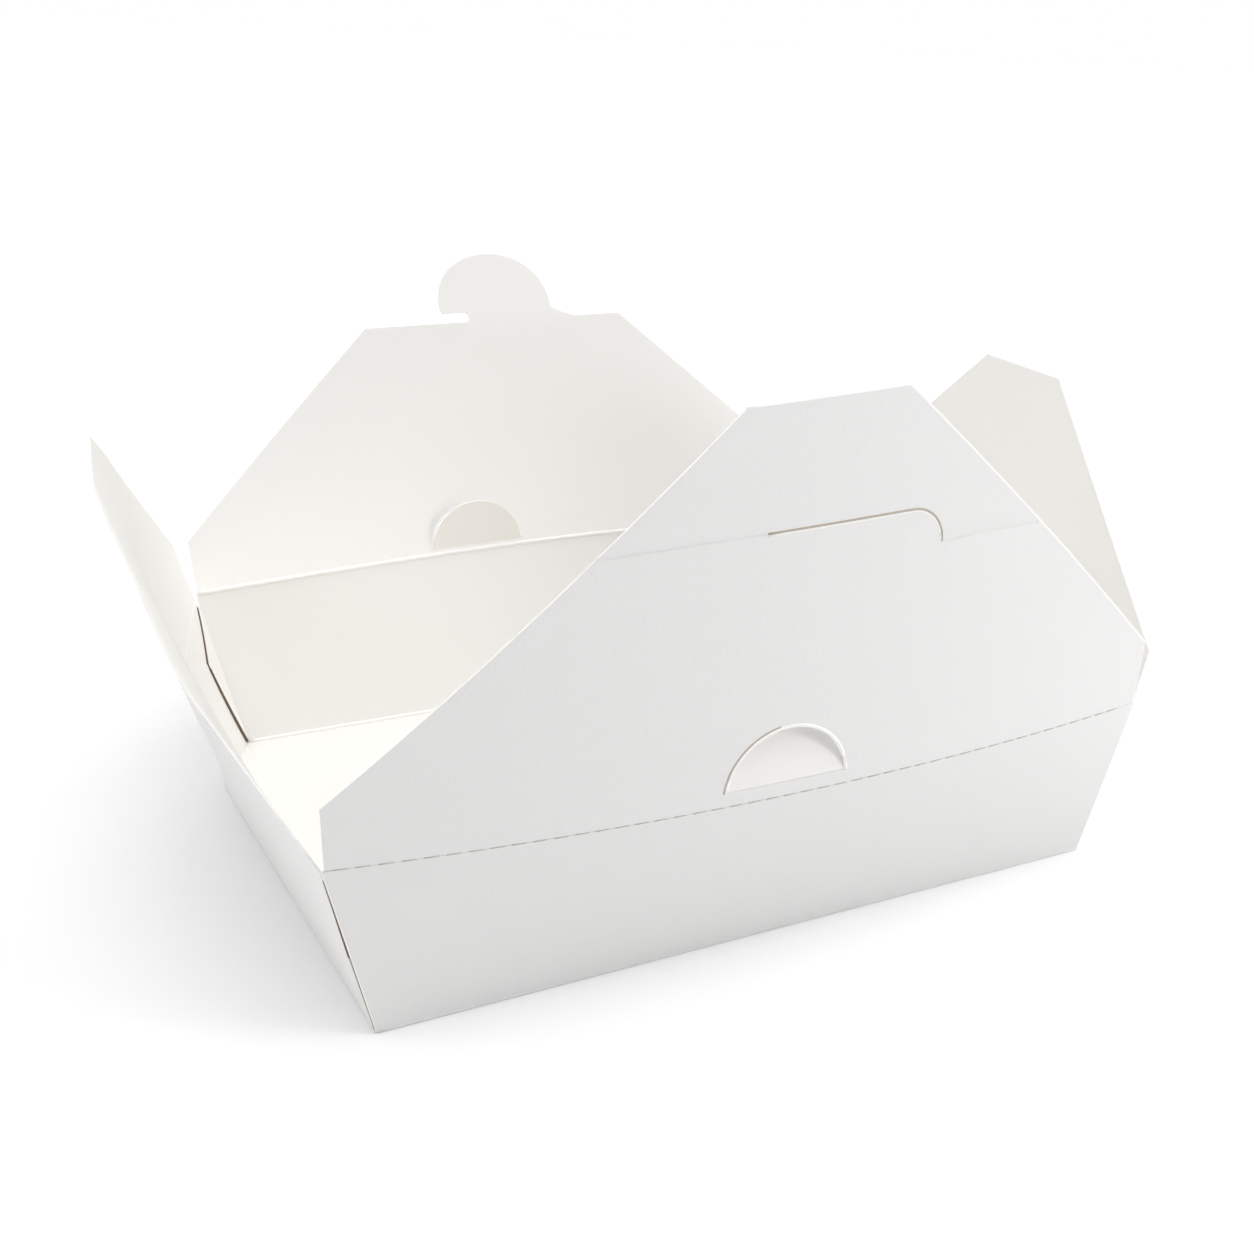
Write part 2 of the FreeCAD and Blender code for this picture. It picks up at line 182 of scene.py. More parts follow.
class Panel:
    """A panel with its origin on its lower fold, and directions across, up and out.

    A place on it is a across and s up, in millimetres. Its low and its high edge can each be bowed: they
    hold how far the board moves at most, and a function that spreads this along the fold.
    """

    def __init__(self, side, height, reach, tilt, rise, leans=None, slant=0.0):
        turn = math.radians(SIDE[side])
        self.side = side
        self.across = Vector((math.cos(turn), math.sin(turn), 0.0))
        self.level_out = Vector((math.sin(turn), -math.cos(turn), 0.0))
        self.lean_at = blend_between(leans) if leans else lambda a: tilt
        self.slant = slant
        self.rise = rise
        lean = math.radians(tilt)
        self.up = self.level_out * math.sin(lean) + UP * math.cos(lean)
        self.out = self.level_out * math.cos(lean) - UP * math.sin(lean)
        self.origin = self.level_out * reach + UP * height
        self.low = Vector((0, 0, 0))
        self.low_swell = no_swell
        self.high = Vector((0, 0, 0))
        self.high_swell = no_swell

    def up_at(self, a):
        lean = math.radians(self.lean_at(a))
        return self.level_out * math.sin(lean) + UP * math.cos(lean)

    def flat(self, a, s, n=0.0):
        shifted = s + self.slant * a * s / self.rise
        return self.origin + self.across * a + self.up_at(a) * shifted + self.out * n

    def bowed(self, a, s, n=0.0):
        share = min(max(s / self.rise, 0.0), 1.0)
        low = self.low * ((1.0 - share) * self.low_swell(a))
        high = self.high * (share * self.high_swell(a))
        return self.flat(a, s, n) + low + high


def wall_tilt(side):
    if side in ("front", "back"):
        return math.degrees(math.atan((RIM_HALF_Y - FLOOR_HALF_Y) / WALL_HEIGHT))
    return math.degrees(math.atan((RIM_HALF_X - FLOOR_HALF_X) / WALL_HEIGHT))


def make_wall(side):
    place = joints[side + "_fold"]["pos_m"]
    reach = max(abs(place[0]), abs(place[1])) / MM
    height = place[2] / MM
    tilt = wall_tilt(side)
    low = BOARD / 2
    rise = (height - low) / math.cos(math.radians(tilt))
    base = reach - (height - low) * math.tan(math.radians(tilt))
    return Panel(side, low, base, tilt, rise)


walls = {side: make_wall(side) for side in SIDE}

# The folds bow outwards where the loose board springs: by how much at most, and where that is.
FRONT_BOW = 7.2
FRONT_TIP_BOW = 3.8
BACK_BOW = 11.0
BACK_BOW_LEAN = -0.35
LEFT_RIM_BOW = 13.0
LEFT_RIM_PEAK = -28.3
LEFT_FOOT_BOW = 10.6
LEFT_FOOT_PEAK = -50.0
walls["front"].high = walls["front"].out * FRONT_BOW
walls["front"].high_swell = dome(RIM_HALF_X)
walls["back"].high = walls["back"].level_out * BACK_BOW
walls["back"].high_swell = dome(RIM_HALF_X, BACK_BOW_LEAN)
walls["left"].high = walls["left"].out * LEFT_RIM_BOW
walls["left"].high_swell = tent(RIM_HALF_Y, LEFT_RIM_PEAK, start=0.07, end=0.085)
walls["left"].low = walls["left"].level_out * LEFT_FOOT_BOW
walls["left"].low_swell = tent(FLOOR_HALF_Y, LEFT_FOOT_PEAK)

# How far the corners of the front wall and the floor are off their even places, outwards. The right
# wall follows them at its front end, and the right flap stands out a little there.
FRONT_RIM_LEFT = 1.1
FRONT_RIM_RIGHT = -1.0
FRONT_FOOT_RIGHT = 2.2
RIGHT_FLAP_FRONT = 0.9
RIGHT_RIM_LENGTH = 160
walls["right"].low = walls["right"].level_out * FRONT_FOOT_RIGHT
walls["right"].low_swell = towards_front(2 * FLOOR_HALF_Y)
walls["right"].high = walls["right"].level_out * FRONT_RIM_RIGHT
walls["right"].high_swell = towards_front(RIGHT_RIM_LENGTH)

flaps = {}
for side, form in FLAP.items():
    wall = walls[side]
    top = wall.flat(0, wall.rise)
    panel = Panel(side, top.z, top.dot(wall.level_out), form["lean"], form["depth"], form.get("leans"),
                  form["slant"])
    panel.low = wall.high
    panel.low_swell = wall.high_swell
    flaps[side] = panel
flaps["front"].high = flaps["front"].out * FRONT_TIP_BOW
flaps["front"].high_swell = dome(RIM_HALF_X)
flaps["right"].low = walls["right"].level_out * RIGHT_FLAP_FRONT
flaps["left"].high = walls["left"].high
flaps["left"].high_swell = walls["left"].high_swell


# Sheets: a flat outline is filled with small triangles, then bent into place.

def inside(point, loop):
    """Whether a point lies in a closed outline."""
    x, y = point
    hit = False
    for (x0, y0), (x1, y1) in zip(loop, loop[1:] + loop[:1]):
        if (y0 > y) != (y1 > y) and x < (x1 - x0) * (y - y0) / (y1 - y0) + x0:
            hit = not hit
    return hit


def finely(run, closed=True):
    """The run of points with more between them, no farther apart than the grid's step."""
    points = []
    ends = run[1:] + run[:1] if closed else run[1:]
    for (x0, y0), (x1, y1) in zip(run, ends):
        count = max(1, math.ceil(math.hypot(x1 - x0, y1 - y0) / GRID))
        for k in range(count):
            points.append((x0 + (x1 - x0) * k / count, y0 + (y1 - y0) * k / count))
    if not closed:
        points.append(run[-1])
    return points


def clear_of(x, y, points, gap):
    return all(abs(x - px) > gap or abs(y - py) > gap for px, py in points)


def triangles(loop, holes=(), lines=()):
    """Vertices and triangles that fill loop, apart from holes, with the lines kept as edges."""
    points = []
    edges = []
    rims = []
    for closed, run in [(True, loop)] + [(True, h) for h in holes] + [(False, r) for r in lines]:
        fine = finely(run, closed)
        start = len(points)
        points += fine
        rims.append(fine)
        edges += [(start + k, start + k + 1) for k in range(len(fine) - 1)]
        if closed:
            edges.append((start + len(fine) - 1, start))
    taken = list(points)
    low_x = min(p[0] for p in loop)
    low_y = min(p[1] for p in loop)
    across = int((max(p[0] for p in loop) - low_x) / GRID)
    upward = int((max(p[1] for p in loop) - low_y) / GRID)
    for i in range(1, across + 1):
        x = low_x + i * GRID
        column = [p for p in taken if abs(p[0] - x) < GRID / 2]
        for j in range(1, upward + 1):
            y = low_y + j * GRID
            if inside((x, y), loop) and clear_of(x, y, column, GRID / 2):
                points.append((x, y))
    verts, _, faces, _, _, _ = delaunay_2d_cdt([Vector(p) for p in points], edges, [], 0, SAME_PLACE)
    cuts = rims[1:1 + len(holes)]
    kept = []
    for face in faces:
        centre = sum((verts[k] for k in face), Vector((0, 0))) / len(face)
        spot = (centre.x, centre.y)
        first, second, third = (verts[k] for k in face)
        sliver = abs((second - first).cross(third - first)) < SLIVER
        if inside(spot, rims[0]) and not sliver and not any(inside(spot, cut) for cut in cuts):
            kept.append(list(face))
    return [(v.x, v.y) for v in verts], kept


def new_piece(name, verts, faces, materials):
    mesh = bpy.data.meshes.new(name)
    mesh.from_pydata([Vector(v) * MM for v in verts], [], faces)
    mesh.update()
    piece = bpy.data.objects.new(name, mesh)
    bpy.context.scene.collection.objects.link(piece)
    for material in materials:
        mesh.materials.append(material)
    mesh.polygons.foreach_set("use_smooth", [True] * len(mesh.polygons))
    return piece


def sheet(name, loop, place, holes=(), lines=(), thickness=BOARD):
    """A board of even thickness inside loop, bent by place, white outside and creamy inside."""
    flat, faces = triangles(loop, holes, lines)
    piece = new_piece(name, [place(a, s) for a, s in flat], faces, [board_outside, board_inside, board_edge_and_highlight])
    solid = piece.modifiers.new("board", "SOLIDIFY")
    solid.thickness = thickness * MM
    solid.offset = 0.0
    solid.material_offset = 1
    solid.material_offset_rim = 2
    bevel = piece.modifiers.new("edge", "BEVEL")
    bevel.width = EDGE_ROUND * MM
    bevel.segments = 2
    bevel.limit_method = "ANGLE"
    bevel.angle_limit = math.radians(50)
    bevel.harden_normals = True
    return piece


# A path counts as upright where its direction has less than this share level.
UPRIGHT = 0.3


def tubes(name, paths, radius, material=board_outside, sides=10, taper=1.0):
    """Round beads along lines of points, which narrow to taper times their radius at their starts."""
    verts = []
    faces = []
    for path in paths:
        base = len(verts)
        last = len(path) - 1
        for k, point in enumerate(path):
            ahead = path[min(k + 1, last)] - path[max(k - 1, 0)]
            ahead.normalize()
            first = ahead.cross(UP)
            if first.length < UPRIGHT:
                first = ahead.cross(Vector((0, 1, 0)))
            first.normalize()
            second = ahead.cross(first)
            size = radius * (taper + (1 - taper) * k / last)
            for i in range(sides):
                turn = 2 * math.pi * i / sides
                verts.append(point + (first * math.cos(turn) + second * math.sin(turn)) * size)
        for k in range(last):
            for i in range(sides):
                ring = base + k * sides
                j = (i + 1) % sides
                faces.append([ring + i, ring + j, ring + sides + j, ring + sides + i])
        faces.append([base + i for i in range(sides)][::-1])
        faces.append([base + last * sides + i for i in range(sides)])
    return new_piece(name, verts, faces, [material])


def tube(name, path, radius, material=board_outside, sides=10, taper=1.0):
    return tubes(name, [path], radius, material, sides, taper)


def attach(piece, body):
    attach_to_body(piece, body)
    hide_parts(body)


def settle(piece, body, panel=None):
    """The piece moves with its body, with a mesh of its own unless it has no panel or its panel is the right
    one.

    The right wall and flap are almost flat, so they keep their form.
    """
    if panel is not None and panel.side != "right":
        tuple(panel.out)
        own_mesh(piece)
    attach(piece, body)


def span(low, high, count):
    """Even steps from low to high, both ends with them."""
    return [low + (high - low) * k / count for k in range(count + 1)]


def arc(cx, cy, radius, start, end, count):
    """Points on a circle from start to end, in degrees."""
    points = []
    for turn in span(math.radians(start), math.radians(end), count):
        points.append((cx + radius * math.cos(turn), cy + radius * math.sin(turn)))
    return points


# The tray

def edge_at(side, s):
    """Half of a wall's length at height s up its slope: it ends where the next wall's middle plane is."""
    panel = walls[side]
    other = walls["right" if side in ("front", "back") else "back"]
    height = panel.flat(0, s).z - BOARD / 2
    base = other.origin.dot(other.level_out)
    return base + height * math.tan(math.radians(wall_tilt(other.side)))


# How far an end wall's cut edge stays from the corner, at the floor and at the rim.
CORNER_GAP_LOW = 0.5
CORNER_GAP_HIGH = 1.2


def wall_loop(side, gap_low=0.0, gap_high=0.0):
    """A wall's outline: left foot, right foot, right end of the rim, left end of the rim."""
    rise = walls[side].rise
    low = edge_at(side, 0) - gap_low
    high = edge_at(side, rise) - gap_high
    loop = [(-low, 0), (low, 0), (high, rise), (-high, rise)]
    if side == "front":
        loop[1] = (low + FRONT_FOOT_RIGHT, 0)
        loop[2] = (high + FRONT_RIM_RIGHT, rise)
        loop[3] = (-high - FRONT_RIM_LEFT, rise)
    return loop


def make_floor():
    half_x = walls["right"].origin.x
    half_y = walls["back"].origin.y
    loop = [(-half_x, -half_y), (half_x, -half_y), (half_x + FRONT_FOOT_RIGHT, half_y), (-half_x, half_y)]
    piece = sheet("floor_panel", loop, lambda a, s: Vector((a, -s, BOARD / 2)))
    settle(piece, "tray")
    # The floor's left edge is straight; a strip fills what the bowed foot of the left wall leaves open.
    foot = walls["left"]
    outer = [(a, foot.low.length * foot.low_swell(a)) for a in span(-half_y, half_y, FOLD_STEPS)]
    ends = [(half_y, 0.0), (-half_y, 0.0)]
    strip = sheet("left_wall_foot", outer[1:-1] + ends,
                  lambda a, s: foot.origin + foot.across * a + foot.level_out * s)
    settle(strip, "tray", foot)


def make_walls():
    for side in ("front", "back"):
        settle(sheet(side + "_wall", wall_loop(side), walls[side].bowed), "tray", walls[side])
    for side in ("left", "right"):
        loop = wall_loop(side, CORNER_GAP_LOW, CORNER_GAP_HIGH)
        settle(sheet(side + "_wall", loop, walls[side].bowed), "tray", walls[side])


# The two ends of a wall, along its across direction.
HANDS = ((-1, "minus"), (1, "plus"))

# A glue tab's free edge, as shares of the wall's rise and widths from the corner, from its top down.
TAB_TOP = 0.96
TAB_FREE = ((TAB_TOP, 2.0), (0.7, 13.0), (0.02, 0.8))
# How high its fold starts, its thickness, and how far it is inside the wall.
TAB_FOOT = 0.5
TAB_THICKNESS = 0.5
TAB_INSET = 0.6
# The line of glue along its free edge, dark brown as glue and as painted shadow where the tab stands off the
# wall: its radius, which narrows to the tapered share at the top.
GLUE_AND_SHADOW_LINE = {"radius": 0.55, "taper": 0.35, "lift": 0.1}


def make_glue_tabs():
    for side in ("left", "right"):
        panel = walls[side]
        rise = panel.rise
        for hand, word in HANDS:
            fold = [(hand * (edge_at(side, s) - BOARD / 2), s) for s in (TAB_FOOT, rise * TAB_TOP)]
            free = []
            for share, width in TAB_FREE:
                s = rise * share
                free.append((hand * (edge_at(side, s) - width), s))
            loop = fold + free
            if hand < 0:
                loop = loop[::-1]

            def place(a, s, panel=panel):
                return panel.bowed(a, s, -TAB_INSET)

            name = f"{side}_glue_tab_{word}"
            settle(sheet(name, loop, place, thickness=TAB_THICKNESS), "tray", panel)
            depth = GLUE_AND_SHADOW_LINE["lift"] - TAB_INSET
            line = [panel.bowed(a, s, depth) for a, s in finely(free, closed=False)]
            # A dark brown bead along the free edge: glue, and painted shadow where the tab stands off the
            # wall.
            glue = tube(name + "_glue", line, GLUE_AND_SHADOW_LINE["radius"], glue_and_gap_shadow, 8, GLUE_AND_SHADOW_LINE["taper"])
            settle(glue, "tray", panel)


# The shadow in the gap between an end wall and its corner, in two parts: where each starts and ends as
# a share of the wall's rise, its radius, and how far it is from the corner.
CORNER_GAPS = {
    "upper": {"top": 0.96, "foot": 0.5, "radius": 0.5, "inset": 0.55},
    "lower": {"top": 0.49, "foot": 0.02, "radius": 0.4, "inset": 0.3},
}
CORNER_STEPS = 12
GAP_SINK = 0.05
GAP_TAPER = 0.5
# The wall's cut edge runs beside the shadow and stands out a little, in tan as painted shade.
CUT_EDGE = {"radius": 0.3, "aside": 0.15, "lift": 0.1}


def make_corner_fold(side, hand, word):
    """The rounded corner at one end of the front or back wall, in lighter white as a painted highlight along
    the fold.
    """
    panel = walls[side]
    loop = wall_loop(side)
    low, high = (loop[1], loop[2]) if hand > 0 else (loop[0], loop[3])
    path = []
    for share in span(0, 1, CORNER_STEPS):
        path.append(panel.bowed(low[0] + (high[0] - low[0]) * share, panel.rise * share))
    settle(tube(f"{side}_corner_{word}", path, BOARD / 2, board_edge_and_highlight), "tray", panel)


def make_corner_gap(side, hand, word):
    """The dark gap at one end of an end wall, with the wall's cut edge beside it."""
    panel = walls[side]
    for part, form in CORNER_GAPS.items():
        path = []
        for share in span(form["top"], form["foot"], CORNER_STEPS):
            s = share * panel.rise
            path.append(panel.bowed(hand * (edge_at(side, s) - form["inset"]), s, -GAP_SINK))
        gap = tube(f"{side}_corner_gap_{part}_{word}", path, form["radius"], glue_and_gap_shadow, 8, GAP_TAPER)
        settle(gap, "tray", panel)
        aside = panel.across * (hand * (form["radius"] + CUT_EDGE["aside"]))
        edge = [point - aside + panel.out * CUT_EDGE["lift"] for point in path]
        cut = tube(f"{side}_cut_edge_{part}_{word}", edge, CUT_EDGE["radius"], cut_edge_shade, 8)
        settle(cut, "tray", panel)


def make_corners():
    for side in ("front", "back"):
        for hand, word in HANDS:
            make_corner_fold(side, hand, word)
    for side in ("left", "right"):
        for hand, word in HANDS:
            make_corner_gap(side, hand, word)


# The rounded folds round the floor, and the two crushed ridges inside the back wall, drawn in lighter white
# as painted highlight:
# how far each is raised and moved outwards from its fold, and its radius.
FLOOR_FOLD = {"lift": 0.2, "radius": 0.46}
FLOOR_RIDGE = {"lift": 0.5, "out": -0.35, "radius": 0.6}
RIM_RIDGE = {"lift": -0.1, "out": -0.25, "radius": 0.62}
# How far the ridges stay from the corners.
RIDGE_INSET = 0.6


def make_folds():
    for side, panel in walls.items():
        loop = wall_loop(side)
        path = [panel.bowed(a, FLOOR_FOLD["lift"]) for a in span(loop[0][0], loop[1][0], FOLD_STEPS)]
        settle(tube(side + "_floor_fold", path, FLOOR_FOLD["radius"]), "tray", panel)
    front = walls["front"]
    loop = wall_loop("front")
    path = [front.bowed(a, front.rise) for a in span(loop[3][0], loop[2][0], FOLD_STEPS)]
    settle(tube("front_rim_fold", path, BOARD / 2), "tray", front)
    back = walls["back"]
    for name, s, form in (("back_floor_ridge", 0, FLOOR_RIDGE), ("back_rim_ridge", back.rise, RIM_RIDGE)):
        half = edge_at("back", s) - RIDGE_INSET
        ridge = [back.bowed(a, s + form["lift"], form["out"]) for a in span(-half, half, FOLD_STEPS)]
        settle(tube(name, ridge, form["radius"], board_edge_and_highlight), "tray", back)
    # The end walls' rim folds are drawn in lighter white, a painted highlight along the rim.
    for side in ("left", "right"):
        panel = walls[side]
        high = edge_at(side, panel.rise) - CORNER_GAP_HIGH
        path = [panel.bowed(a, panel.rise) for a in span(-high, high, FOLD_STEPS)]
        settle(tube(side + "_rim_fold", path, BOARD / 2, board_edge_and_highlight), "tray", panel)


make_floor()
make_walls()
make_glue_tabs()
make_corners()
make_folds()


# The flaps. Each starts a little above its fold, clear of the rim's rounded fold.
FOLD_GAP = 0.32


def flap_loop(side, top=()):
    """A flap's outline from its right end at the fold, with the points of its top edge between corners."""
    form = FLAP[side]
    left = form["middle"] - form["half"]
    right = form["middle"] + form["half"]
    loop = [(right, FOLD_GAP), (right, form["shoulders"][1]), (form["shift"] + form["tip"], form["depth"])]
    loop += list(top)
    loop += [(form["shift"] - form["tip"], form["depth"]), (left, form["shoulders"][0]), (left, FOLD_GAP)]
    return loop


def half_moon(centre, base, half, rise, count=36):
    """A segment of a circle on a level chord, from its right end over the crown to its left end."""
    radius = (half * half + rise * rise) / (2 * rise)
    low = math.degrees(math.asin((radius - rise) / radius))
    return arc(centre, base + rise - radius, radius, low, 180 - low, count)


# The steam vents: the centre and base of each half moon, half its width and its rise, and how far its
# tab is pushed in, in degrees. The tab is smaller than its hole by the cut, and a little above its base.
VENT = {
    "front": {"centre": -4.6, "base": 3.7, "half": 15.8, "rise": 14.0, "push": 16.0},
    "back": {"centre": 18.6, "base": 1.4, "half": 15.3, "rise": 14.6, "push": 24.0},
}
VENT_CUT = 0.2
VENT_TAB_RAISE = 0.1

# The beads that draw the flaps' cut edges, the white ones partly painted highlight and the tan ones painted
# shade: the radius of each, and how far it stands out.
BEAD = {
    "front_vent_edge_highlight": (0.48, 0.05),
    "front_vent_shade": (0.24, 0.2),
    "slit_cut_shade": (0.26, 0.1),
    "slit_edge_highlight": (0.2, 0.16),
    "front_flap_edge_highlight": (0.3, 0.0),
    "back_vent_edge_highlight": (0.36, -0.1),
}

# How far behind the flap a vent tab's anchor is put.
FAR = 1000.0


def vent_hole(side):
    form = VENT[side]
    return half_moon(form["centre"], form["base"], form["half"], form["rise"])


def follow_flap(piece, side, a, s):
    """The piece gets a mesh of its own and moves with the flap. The piece keeps its own
    form.
    """
    panel = flaps[side]
    bow = (panel.bowed(a, s) - panel.flat(a, s)).dot(panel.out)
    anchor = panel.flat(a, s) - panel.out * (FAR - bow)
    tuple(panel.out)
    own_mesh(piece)
    attach(piece, side + "_flap")


def vent_tab(side):
    """The tab left by the half-moon cut turns about its chord, into the box."""
    form = VENT[side]
    panel = flaps[side]
    push = math.radians(form["push"])
    base = form["base"] + VENT_TAB_RAISE
    loop = half_moon(form["centre"], base, form["half"] - VENT_CUT, form["rise"] - VENT_CUT)

    def place(a, s):
        high = s - form["base"]
        return panel.bowed(a, form["base"] + high * math.cos(push), -high * math.sin(push))

    tab = sheet(side + "_vent_tab", loop, place)
    # The tab's faces take a lighter copy of the outside board, painted light, and a darker copy of the
    # inside board, painted shade.
    tab.data.materials[0] = tab_outside_painted_light
    tab.data.materials[1] = tab_inside_painted_shade
    follow_flap(tab, side, form["centre"], form["base"])


def bead(name, side, line, material):
    """A round bead on a flap, along a line of places on it."""
    panel = flaps[side]
    radius, lift = BEAD[name]
    path = [panel.bowed(a, s, lift) for a, s in finely(line, closed=False)]
    settle(tube(name, path, radius, material), side + "_flap", panel)


# Front flap: the lock slit is a thin cut with a quarter turn at its right end, between two creases.
SLIT = {"low": 63.6, "width": 0.45, "start": -13.4, "bend": 23.3, "curve": 8.5}
ARC_STEPS = 12
# Where the slit's beads start from its left end, and how far the bright bead of painted highlight is below
# the dark bead of painted shade.
SLIT_EDGE_START = 0.3
SLIT_EDGE_GAP = 0.5
# The creases: half their width, their depth, the room they leave at both ends, and how far the right one
# is above the end of the slit's curve.
CREASE_HALF = 0.5
CREASE_DEPTH = 0.28
CREASE_ROOM = 0.8
CREASE_RIGHT_LIFT = 0.3
# The shade beside the front vent: how far it is outside the hole, and its first point on the arc, so
# that it lies on the left side alone.
VENT_SHADE_GAP = 0.45
VENT_SHADE_FIRST = 20


def slit_hole():
    low = SLIT["low"]
    high = low + SLIT["width"]
    centre = low - SLIT["curve"]
    outer = arc(SLIT["bend"], centre, SLIT["curve"] + SLIT["width"], 90, 0, ARC_STEPS)
    inner = arc(SLIT["bend"], centre, SLIT["curve"], 0, 90, ARC_STEPS)
    return [(SLIT["start"], low), (SLIT["start"], high)] + outer + inner


def slope_at(side, s, hand):
    """Where a flap's slanted edge is, at height s."""
    form = FLAP[side]
    low = form["middle"] + hand * form["half"]
    high = form["shift"] + hand * form["tip"]
    shoulder = form["shoulders"][1 if hand > 0 else 0]
    share = (s - shoulder) / (form["depth"] - shoulder)
    return low + (high - low) * share


def cross_creases():
    """The crease on each side of the slit: where it starts and ends, and its height."""
    left = SLIT["low"] + SLIT["width"] / 2
    right = SLIT["low"] - SLIT["curve"] + CREASE_RIGHT_LIFT
    return [(slope_at("front", left, -1), SLIT["start"], left),
            (SLIT["bend"] + SLIT["curve"] + SLIT["width"], slope_at("front", right, 1), right)]


def crease_lines():
    lines = []
    for start, end, s in cross_creases():
        for offset in (-CREASE_HALF, 0.0, CREASE_HALF):
            lines.append([(start + CREASE_ROOM, s + offset), (end - CREASE_ROOM, s + offset)])
    return lines


def pressed(a, s):
    """How far the front flap's board is pressed in at a place."""
    for start, end, height in cross_creases():
        if start <= a <= end and abs(s - height) < CREASE_HALF:
            return -CREASE_DEPTH * (1 - abs(s - height) / CREASE_HALF)
    return 0.0


# The dashed cut along the front fold, drawn as grey-brown beads of painted shade in its slots: the length of
# a dash, their step, how far the first is from the flap's end, what stays free at both ends, their height
# above the fold, how far they stand out, and their radius.
DASH = {"length": 3.1, "step": 4.6, "start": 1.5, "free": 2, "height": 0.12, "lift": 0.2, "radius": 0.14}


def make_dashes():
    """The front fold's dashed cut as beads of painted shade, from left to right."""
    panel = flaps["front"]
    form = FLAP["front"]
    count = int((2 * form["half"] - DASH["free"]) / DASH["step"])
    start = form["middle"] - form["half"] + DASH["start"]
    paths = []
    for k in range(count):
        a = start + k * DASH["step"]
        dash = span(a, a + DASH["length"], 2)
        paths.append([panel.bowed(place, DASH["height"], DASH["lift"]) for place in dash])
    settle(tubes("front_fold_dashes", paths, DASH["radius"], fold_cut_shade, 6), "front_flap", panel)


def make_front_flap():
    panel = flaps["front"]
    piece = sheet("front_flap_sheet", flap_loop("front"),
                  lambda a, s: panel.bowed(a, s, pressed(a, s)),
                  holes=[vent_hole("front"), slit_hole()], lines=crease_lines())
    settle(piece, "front_flap", panel)
    make_dashes()
    vent_tab("front")
    # A white bead round the vent hole: a raised lip, drawn lighter as a painted highlight.
    bead("front_vent_edge_highlight", "front", vent_hole("front"), board_edge_and_highlight)
    form = VENT["front"]
    half = form["half"] + VENT_SHADE_GAP
    outer = half_moon(form["centre"], form["base"], half, form["rise"] + VENT_SHADE_GAP)
    bead("front_vent_shade", "front", outer[VENT_SHADE_FIRST:], cut_edge_shade)
    start = SLIT["start"] + SLIT_EDGE_START
    middle = SLIT["low"] + SLIT["width"] / 2
    radius = SLIT["curve"] + SLIT["width"] / 2
    turn = arc(SLIT["bend"], middle - radius, radius, 90, 2, ARC_STEPS)
    # A tan bead of painted shade in the slit, and a white bead of painted highlight below it.
    bead("slit_cut_shade", "front", [(start, middle)] + turn, cut_edge_shade)
    turn = arc(SLIT["bend"], middle - radius, radius - SLIT_EDGE_GAP, 90, 4, ARC_STEPS)
    bead("slit_edge_highlight", "front", [(start, middle - SLIT_EDGE_GAP)] + turn, board_edge_and_highlight)
    # A white bead along the right slanted edge: the cut edge with a painted highlight.
    right_side = flap_loop("front")[:4]
    bead("front_flap_edge_highlight", "front", right_side, board_edge_and_highlight)


# Back flap: the hook tab stands on the top edge, with a notch at its inner end and a slope at its other.
HOOK = {"start": 17.4, "end": -21.0, "crown": 102.7, "foot": -29.3, "notch": 3.5, "root": 8.0,
        "lip": 0.8, "first_turn": 0.06, "roundness": 0.82}
HOOK_SLOPE = {"past": 3.0, "below": 1.6, "near": 1.5, "above": 0.4}


def hook_top():
    """From the notch over the hook tab to its slope; this flap's across direction points to the left."""
    depth = FLAP["back"]["depth"]
    under = depth + HOOK["notch"]
    bend = HOOK["notch"] / 2
    points = [(HOOK["root"] + bend, depth)]
    points += arc(HOOK["root"] + bend, depth + bend, bend, -90, -270, 10)[1:]
    points.append((HOOK["start"] - HOOK["lip"], under))
    middle = (HOOK["start"] + HOOK["end"]) / 2
    half = (HOOK["start"] - HOOK["end"]) / 2
    for turn in span(HOOK["first_turn"], math.pi, 36):
        lift = math.sin(turn) ** HOOK["roundness"]
        points.append((middle + half * math.cos(turn), under + (HOOK["crown"] - under) * lift))
    points.append((HOOK["end"] - HOOK_SLOPE["past"], under - HOOK_SLOPE["below"]))
    points.append((HOOK["foot"] + HOOK_SLOPE["near"], depth + HOOK_SLOPE["above"]))
    points.append((HOOK["foot"], depth))
    return points


def make_back_flap():
    panel = flaps["back"]
    outline = flap_loop("back", top=hook_top())
    piece = sheet("back_flap_sheet", outline, panel.bowed, holes=[vent_hole("back")])
    settle(piece, "back_flap", panel)
    vent_tab("back")
    # A white bead round the back vent hole: the cut edge with a painted highlight.
    bead("back_vent_edge_highlight", "back", vent_hole("back"), board_edge_and_highlight)


def make_end_flap(side):
    settle(sheet(side + "_flap_sheet", flap_loop(side), flaps[side].bowed), side + "_flap", flaps[side])


# The strip inside a bowed fold: how far it stays from the flap's ends, its steps and its thickness.
LIP = {"inset": 1.5, "steps": 48, "thickness": 0.3}


def fold_lip(side):
    """A strip inside the wall's board, which comes out with the flap as the fold straightens."""
    wall = walls[side]
    panel = flaps[side]
    half = FLAP[side]["half"] - LIP["inset"]
    verts = []
    for a in span(-half, half, LIP["steps"]):
        top = wall.bowed(a, wall.rise)
        low = (top - panel.flat(a, 0)).dot(panel.up)
        for share in (0.0, 0.5, 1.0):
            verts.append(top - wall.up * (low * share / wall.up.dot(panel.up)))
    faces = []
    for k in range(LIP["steps"]):
        for j in range(2):
            i = k * 3 + j
            faces.append([i, i + 3, i + 4, i + 1])
    piece = new_piece(side + "_fold_lip", verts, faces, [board_inside])
    solid = piece.modifiers.new("board", "SOLIDIFY")
    solid.thickness = LIP["thickness"] * MM
    solid.offset = 0.0
    settle(piece, side + "_flap", panel)


make_front_flap()
make_back_flap()
make_end_flap("left")
make_end_flap("right")
fold_lip("back")
fold_lip("left")


# Ground, light and camera

